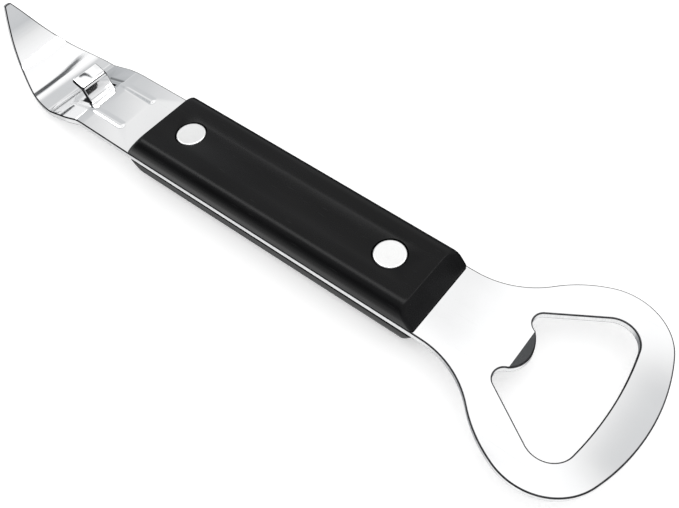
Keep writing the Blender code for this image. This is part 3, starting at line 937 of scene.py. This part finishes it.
def end_inset(height, thick, run, crest):
    """How far an end face has leaned in at a height, with a small round at its crest."""
    lean = math.atan2(run, thick)
    tangent = crest * math.tan((math.pi / 2 - lean) / 2)
    start = thick - tangent * math.cos(lean)
    if height <= start:
        return run * height / thick
    over = min((height - start) / (thick - start), 1.0)
    centre = run + tangent
    rise = thick - crest
    return centre - math.sqrt(max(crest ** 2 - (start + over * (thick - start) - rise) ** 2, 0.0))


def scale_mesh(low, high, direction, plate, sizes):
    """One moulded scale as rings of points from the plate outwards."""
    thick = high.z - low.z
    inner = low.z if direction > 0 else high.z
    straight = thick - sizes.shoulder
    heights = [sizes.hem * (1 - math.cos(math.pi / 2 * n / 3)) for n in range(4)]
    heights += [straight * n / 3 for n in range(1, 4)]
    heights += [straight + sizes.shoulder * math.sin(math.pi / 2 * n / 24) for n in range(1, 25)]
    bm = bmesh.new()
    rings = []
    for height in heights:
        over = max(height - straight, 0.0)
        inset = sizes.shoulder - math.sqrt(max(sizes.shoulder ** 2 - over ** 2, 0.0))
        if height < sizes.hem:
            inset = sizes.hem - math.sqrt(sizes.hem ** 2 - (sizes.hem - height) ** 2)
        hem = inset if height < sizes.hem else 0.0
        along = height / thick
        corner = sizes.corner + (sizes.top_corner - sizes.corner) * along
        ends = {1: high.x - hem - end_inset(height, thick, sizes.loop_run, sizes.crest),
                -1: low.x + hem + end_inset(height, thick, sizes.point_run, sizes.crest)}
        ring = []
        for sx, sy, ahead, across in round_corners(corner, 10):
            taper = (ends[sx] - low.x) / (high.x - low.x)
            half = plate.neck_point + (plate.neck_loop - plate.neck_point) * taper - inset
            ring.append(bm.verts.new((ends[sx] - sx * corner + ahead,
                                      sy * (half - corner) + across,
                                      inner + direction * height)))
        rings.append(ring)
    joined_rings(bm, rings)
    bm.faces.new(rings[0])
    bm.faces.new(rings[-1])
    return bm


def seat_cutter(name, x, face, direction, thick, sizes, rivets):
    """Cutter for a rivet's seat and sleeve hole, with a broken edge at the face."""
    seat = HEAD_RADIUS + CLEARANCE
    bore = rivets.sleeve + CLEARANCE
    floor = rivets.head_thick + CLEARANCE
    chamfer = sizes.seat_chamfer
    depths = ((0.0, -MM), (seat + chamfer + MM, -MM), (seat + chamfer, 0.0),
              (seat + chamfer * 0.3, chamfer * 0.35), (seat, chamfer), (seat, floor),
              (bore, floor), (bore, thick + MM), (0.0, thick + MM))
    profile = [(radius, face - direction * depth) for radius, depth in depths]
    return lathe(name, x, profile, rivets.segments, [])


class OPENER_OT_scales(bpy.types.Operator):
    """Mould both handle scales and cut their rivet seats."""
    bl_idname = "opener.scales"
    bl_label = "Handle Scales"

    def execute(self, context):
        scene = context.scene
        plastic = moulded_plastic(scene.opener_finishes)
        for node, name, low, high, direction in (
                ("front_scale", "scale_front", FRONT_LOW, FRONT_HIGH, 1),
                ("back_scale", "scale_back", BACK_LOW, BACK_HIGH, -1)):
            bm = scale_mesh(low, high, direction, scene.opener_plate, scene.opener_scales)
            piece = finished(name, bm, [plastic])
            face = high.z if direction > 0 else low.z
            cutters = [seat_cutter(f"{name}_seat", side * RIVET_X, face, direction,
                                   high.z - low.z, scene.opener_scales, scene.opener_rivets)
                       for side in (-1, 1)]
            carved(piece, [(cutter, "DIFFERENCE") for cutter in cutters], math.radians(32))
            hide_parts(node)
            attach(piece, "root")
        return {"FINISHED"}


def head_rim(edge, face, direction, dish):
    """Profile of a head's face and rounded rim, from the middle outwards."""
    points = [(HEAD_RADIUS * across, face - direction * dish * deep)
              for across, deep in ((0.0, 1.0), (0.4, 0.8), (0.72, 0.3))]
    points.append((HEAD_RADIUS - edge * 1.5, face))
    for number in range(7):
        angle = math.pi / 2 * number / 6
        points.append((HEAD_RADIUS - edge + edge * math.sin(angle),
                       face - direction * edge * (1 - math.cos(angle))))
    return points


class OPENER_OT_rivets(bpy.types.Operator):
    """Turn both cutler's rivets, each a headed pin in a headed sleeve."""
    bl_idname = "opener.rivets"
    bl_label = "Rivets"

    def execute(self, context):
        scene = context.scene
        sizes = scene.opener_rivets
        steel = turned_steel(scene.opener_finishes)
        for end, side in (("piercer", -1), ("loop", 1)):
            x = side * RIVET_X
            under = PIN_HIGH.z - sizes.head_thick
            tip = 0.25 * MM
            profile = head_rim(sizes.edge, PIN_HIGH.z, 1, sizes.dish)
            profile += [(HEAD_RADIUS, under), (sizes.pin, under), (sizes.pin, PIN_LOW.z + tip),
                        (sizes.pin - tip, PIN_LOW.z), (0.0, PIN_LOW.z)]
            pin = lathe(f"pin_{end}", x, profile, sizes.segments, [steel])
            bore = sizes.pin + CLEARANCE
            floor = SLEEVE_LOW.z + sizes.head_thick
            profile = head_rim(sizes.edge, SLEEVE_LOW.z, -1, sizes.dish)
            profile += [(HEAD_RADIUS, floor), (sizes.sleeve, floor),
                        (sizes.sleeve, SLEEVE_HIGH.z), (bore, SLEEVE_HIGH.z),
                        (bore, floor + CLEARANCE), (0.0, floor + CLEARANCE)]
            sleeve = lathe(f"sleeve_{end}", x, profile, sizes.segments, [steel])
            for piece, node in ((pin, f"rivet_pin_{end}_end"),
                                (sleeve, f"rivet_sleeve_{end}_end")):
                evened(piece)
                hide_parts(node)
                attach(piece, "root")
        return {"FINISHED"}


def soft_box(name, place, target, size, power):
    """A rectangular soft box that faces a point and only shows as a reflection."""
    light = bpy.data.lights.new(name, "AREA")
    light.shape = "RECTANGLE"
    light.size, light.size_y = size
    light.energy = power
    box = bpy.data.objects.new(name, light)
    box.location = place
    box.rotation_euler = (Vector(target) - Vector(place)).to_track_quat("-Z", "Y").to_euler()
    box.visible_diffuse = False
    bpy.context.scene.collection.objects.link(box)


def studio_sky(settings):
    """White light from all round; what shines sees a studio with darker walls and flags."""
    world = bpy.data.worlds.new("studio")
    bpy.context.scene.world = world
    board = Board(world, "Background")
    x, y, z = board.parts(board.add("ShaderNodeTexCoord", output="Generated"))
    ceiling = settings.sky
    back = z.ramp(0.0, 0.5) * (ceiling - 0.5) + 0.5
    front = z.steps((0.0, 0.45), (0.2, 0.40), (0.33, 0.08), (0.45, 0.03), (0.60, 0.25),
                    (0.72, 0.95))
    left = z.steps((0.0, 0.14), (0.12, 0.30), (0.30, 0.70), (0.50, 0.70), (0.61, 0.74),
                   (0.665, 0.98), (0.70, 0.90), (0.75, 0.72), (0.80, 0.85), (0.85, 1.12))
    left = left * (y.ramp(0.27, 0.36) * (1 - z.ramp(0.15, 0.3)) + 1)
    right = z.steps((0.0, 0.62), (0.02, 0.70), (0.09, 0.76), (0.19, 0.82), (0.29, 0.89),
                    (0.39, 0.98), (0.50, 1.03), (0.65, 1.10))
    level = back.towards(left, (x * -1).ramp(0.42, 0.60))
    level = level.towards(right, x.ramp(0.2, 0.55))
    level = level.towards(front, (y * -1).ramp(0.15, 0.45) * (1 - x.ramp(0.15, 0.45) * 0.75))
    # the ceiling is dimmer straight overhead and in front
    level = level * (1 - (1 - y.ramp(0.02, 0.24)) * z.ramp(0.4, 0.7) * 0.34)
    # a curved flag overhead, whose reflection crosses the foot of the point
    turn = ((y - 0.265) / 0.075).clamped() ** 2.5
    reach = (x + 0.335 - turn * 0.25).math("ABSOLUTE")
    flag = (1 - reach.ramp(0.045, 0.085)) * y.between(0.255, 0.322, 0.012) * z.ramp(0.5, 0.7)
    # grey cards: over the loop's far side, beside the handle, and the one the lip faces
    far = x.between(0.03, 0.2, 0.09) * y.between(0.41, 0.5, 0.07) * z.ramp(0.5, 0.7)
    near = x.between(-0.34, -0.25, 0.07) * y.between(0.43, 0.6, 0.04) * z.ramp(0.5, 0.7)
    lip = x.between(0.60, 0.80, 0.05) * y.between(0.42, 0.54, 0.03) * z.between(0.42, 0.66, 0.05)
    level = level * (1 - flag * 0.9) * (1 - far * 0.34) * (1 - near * 0.13) * (1 - lip * 0.91)
    low = (x.ramp(-0.5, -0.12).math("MAXIMUM", (y * -1).ramp(0.15, 0.35)) * 0.9 + 0.25)
    low = low * (1 - y.ramp(0.2, 0.6)) + 0.02
    level = level.towards(low, (z * -1).ramp(-0.02, 0.15))
    shine = board.add("ShaderNodeLightPath", output="Is Glossy Ray")
    strength = (level - settings.ambient) * shine + settings.ambient
    tint = board.blend(level.ramp(0.45, 1.0), (0.94, 0.97, 1.0), (1.0, 1.0, 1.0))
    white = board.blend(shine, (1.0, 1.0, 1.0), tint)
    board.set(Color=white, Strength=strength)


class OPENER_OT_stage(bpy.types.Operator):
    """Lay the floor, set the lights and stand the camera."""
    bl_idname = "opener.stage"
    bl_label = "Stage"

    def execute(self, context):
        scene = context.scene
        settings = scene.opener_stage
        half = settings.floor / 2
        bm = bmesh.new()
        corners = [bm.verts.new((x, y, BACK_LOW.z - 0.02 * MM))
                   for x, y in ((-half, -half), (half, -half), (half, half), (-half, half))]
        bm.faces.new(corners)
        board = Board(bpy.data.materials.new("floor"))
        fleck = board.noise(board.place(), scale=9, detail=3)
        tone = board.blend(fleck.ramp(0.3, 0.7), tinted(settings.floor_colour, 0.995),
                           settings.floor_colour)
        material = board.set(Base_Color=tone, Roughness=0.9, Specular_IOR_Level=0.0,
                             Emission_Color=(1.0, 1.0, 1.0), Emission_Strength=settings.glow)
        floor = finished("floor", bm, [material])
        floor.visible_glossy = False
        studio_sky(settings)
        soft_box("strip_box", (-0.30, -0.05, 0.60), (-0.30, 0, 0), (1.1, 0.2), settings.strip)
        soft_box("crest_box", (0.26, 0.24, 0.38), (0.038, 0, 0), (0.08, 0.35), settings.crest)
        eye = bpy.data.cameras.new("camera")
        eye.lens = settings.lens
        eye.sensor_width = 36.0
        eye.clip_start = 0.01
        eye.clip_end = 10.0
        camera = bpy.data.objects.new("camera", eye)
        camera.matrix_world = stand(CAMERA_PLACE, CAMERA_RIGHT, CAMERA_UP,
                                    CAMERA_RIGHT.cross(CAMERA_UP))
        scene.collection.objects.link(camera)
        scene.camera = camera
        scene.view_settings.view_transform = "Standard"
        return {"FINISHED"}


STEPS = (OPENER_OT_plate, OPENER_OT_scales, OPENER_OT_rivets, OPENER_OT_stage)


class OPENER_PT_sidebar(bpy.types.Panel):
    """Lists the opener's pieces and their sizes."""
    bl_idname = "OPENER_PT_sidebar"
    bl_label = "Opener"
    bl_space_type = "VIEW_3D"
    bl_region_type = "UI"
    bl_category = "Opener"

    def draw(self, context):
        for step in STEPS:
            self.layout.operator(step.bl_idname)
        for name, group in GROUPS:
            box = self.layout.box()
            box.label(text=group.__doc__)
            for key in group.__annotations__:
                label = key.replace("_", " ").capitalize()
                box.prop(getattr(context.scene, name), key, text=label)


CLASSES = tuple(group for _, group in GROUPS) + STEPS + (OPENER_PT_sidebar,)


def register():
    for item in CLASSES:
        bpy.utils.register_class(item)
    for name, group in GROUPS:
        setattr(bpy.types.Scene, name, PointerProperty(type=group))


def unregister():
    for name, _ in reversed(GROUPS):
        delattr(bpy.types.Scene, name)
    for item in reversed(CLASSES):
        bpy.utils.unregister_class(item)


def main():
    register()
    bpy.ops.opener.plate()
    bpy.ops.opener.scales()
    bpy.ops.opener.rivets()
    bpy.ops.opener.stage()


if __name__ == "__main__":
    main()
